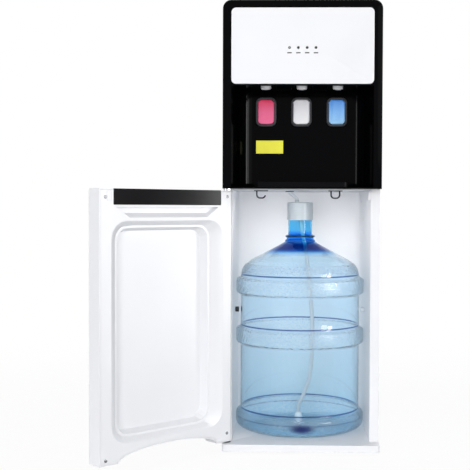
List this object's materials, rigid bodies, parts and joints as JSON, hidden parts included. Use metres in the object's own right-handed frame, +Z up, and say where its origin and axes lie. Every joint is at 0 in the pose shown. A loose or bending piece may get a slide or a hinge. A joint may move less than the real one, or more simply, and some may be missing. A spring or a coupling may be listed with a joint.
{
  "type": "bottom load water cooler",
  "caption": "Free-standing water cooler with a hinged door over a bottle bay, a suction probe, tap paddles in a black recess, a drip tray and a rear condenser.",
  "frame": {"origin": "on the floor under the middle of the cabinet, at the centre of the middle foot's underside", "axes": "+Z up, +X to the right seen from the front, -Y towards the user; the door stands open at 136.5 degrees"},
  "size_m": [0.5395, 0.5663, 0.886],
  "materials": {
    "white_moulding": "satin moulded plastic",
    "white_sheet": "white powder coat",
    "gloss_white": "polished plastic",
    "gloss_black": "piano black, polished",
    "matt_black": "fine matt grain",
    "rubber": "moulded rubber",
    "black_steel": "black enamel",
    "galvanised": "zinc-coated sheet",
    "stainless": "bright stainless",
    "pale_hose": "food-grade silicone, translucent white",
    "bottle_blue": "clear blue polycarbonate",
    "lens_lit": "clear lens",
    "lens_dark": "smoked lens",
    "board_green": "solder-masked board",
    "tank_foam": "foamed jacket",
    "paddle_red": "glossy red",
    "paddle_white": "glossy white",
    "paddle_blue": "glossy blue",
    "rocker_red": "glossy red",
    "rocker_green": "glossy green"
  },
  "bodies": {
    "cabinet": {"base_plate": "white_moulding", "foot_front_left": "rubber", "foot_front_right": "rubber", "foot_rear_left": "rubber", "foot_rear_right": "rubber", "foot_centre": "rubber", "side_panel_right": "white_sheet", "side_panel_left": "white_sheet", "compartment_liner": "white_moulding", "bottle_bumper_left": "rubber", "bottle_bumper_right": "rubber", "mid_deck": "galvanised", "top_cover": "matt_black", "rear_panel": "galvanised", "switch_plate": "matt_black", "drain_spout": "white_moulding", "lead_bushing": "rubber", "condenser": "black_steel", "compressor": "black_steel", "hot_tank": "stainless", "cold_tank": "tank_foam", "water_pump": "matt_black", "hose_grommet": "rubber", "probe_hook_left": "matt_black", "probe_hook_right": "matt_black", "front_fascia": "gloss_black", "control_panel": "gloss_white", "indicator_lens_1": "lens_lit", "indicator_lens_2": "lens_dark", "indicator_lens_3": "lens_dark", "indicator_lens_4": "lens_dark", "display_board": "board_green", "tap_valve_hot": "white_moulding", "tap_valve_room": "white_moulding", "tap_valve_cold": "white_moulding", "paddle_bezel_hot": "matt_black", "paddle_bezel_room": "matt_black", "paddle_bezel_cold": "matt_black", "hinge_pin_lower": "stainless", "hinge_washer": "rubber", "hinge_pin_upper": "stainless", "door_catch": "matt_black", "supply_hose": "pale_hose"},
    "door": {"door_shell": "white_moulding", "door_liner": "white_moulding", "door_strike": "stainless", "door_top_trim": "gloss_black"},
    "bottle": {"bottle": "bottle_blue"},
    "probe": {"probe_cap": "gloss_white", "suction_tube": "pale_hose", "probe_strainer": "gloss_white"},
    "lever_hot": {"paddle_hot": "paddle_red"},
    "lever_room": {"paddle_room": "paddle_white"},
    "lever_cold": {"paddle_cold": "paddle_blue"},
    "tray": {"drip_tray": "matt_black"},
    "grille": {"drip_grille": "matt_black"},
    "switch_hot": {"rocker_hot": "rocker_red"},
    "switch_cold": {"rocker_cold": "rocker_green"},
    "plug": {"drain_plug": "rubber"}
  },
  "joints": [
    {"name": "door_hinge", "type": "hinge", "parent": "cabinet", "child": "door", "pos_m": [-0.147, -0.1528, 0.2], "axis": [0, 0, -1], "range_deg": [-136.5, 0]},
    {"name": "bottle_slide", "type": "slide", "parent": "cabinet", "child": "bottle", "axis": [0, -1, 0], "range_m": [0, 0.31], "deforming": ["supply_hose"]},
    {"name": "probe_lift", "type": "slide", "parent": "bottle", "child": "probe", "axis": [0, 0, 1], "range_m": [0, 0.016]},
    {"name": "paddle_hot_press", "type": "hinge", "parent": "cabinet", "child": "lever_hot", "pos_m": [-0.072, -0.0838, 0.697], "axis": [1, 0, 0], "range_deg": [0, 8], "stiffness_Nm_per_rad": 2, "springref_deg": -2.29},
    {"name": "paddle_room_press", "type": "hinge", "parent": "cabinet", "child": "lever_room", "pos_m": [0, -0.0838, 0.697], "axis": [1, 0, 0], "range_deg": [0, 8], "stiffness_Nm_per_rad": 2, "springref_deg": -2.29},
    {"name": "paddle_cold_press", "type": "hinge", "parent": "cabinet", "child": "lever_cold", "pos_m": [0.072, -0.0838, 0.697], "axis": [1, 0, 0], "range_deg": [0, 8], "stiffness_Nm_per_rad": 2, "springref_deg": -2.29},
    {"name": "drip_tray_slide", "type": "slide", "parent": "cabinet", "child": "tray", "axis": [0, -1, 0], "range_m": [0, 0.105]},
    {"name": "grille_lift", "type": "slide", "parent": "tray", "child": "grille", "axis": [0, 0, 1], "range_m": [0, 0.03]},
    {"name": "switch_hot_rock", "type": "hinge", "parent": "cabinet", "child": "switch_hot", "pos_m": [-0.098, 0.1788, 0.79], "axis": [1, 0, 0], "range_deg": [0, 10]},
    {"name": "switch_cold_rock", "type": "hinge", "parent": "cabinet", "child": "switch_cold", "pos_m": [-0.112, 0.1788, 0.79], "axis": [1, 0, 0], "range_deg": [0, 10]},
    {"name": "drain_plug_pull", "type": "slide", "parent": "cabinet", "child": "plug", "axis": [0, 1, 0], "range_m": [0, 0.03]}
  ]
}
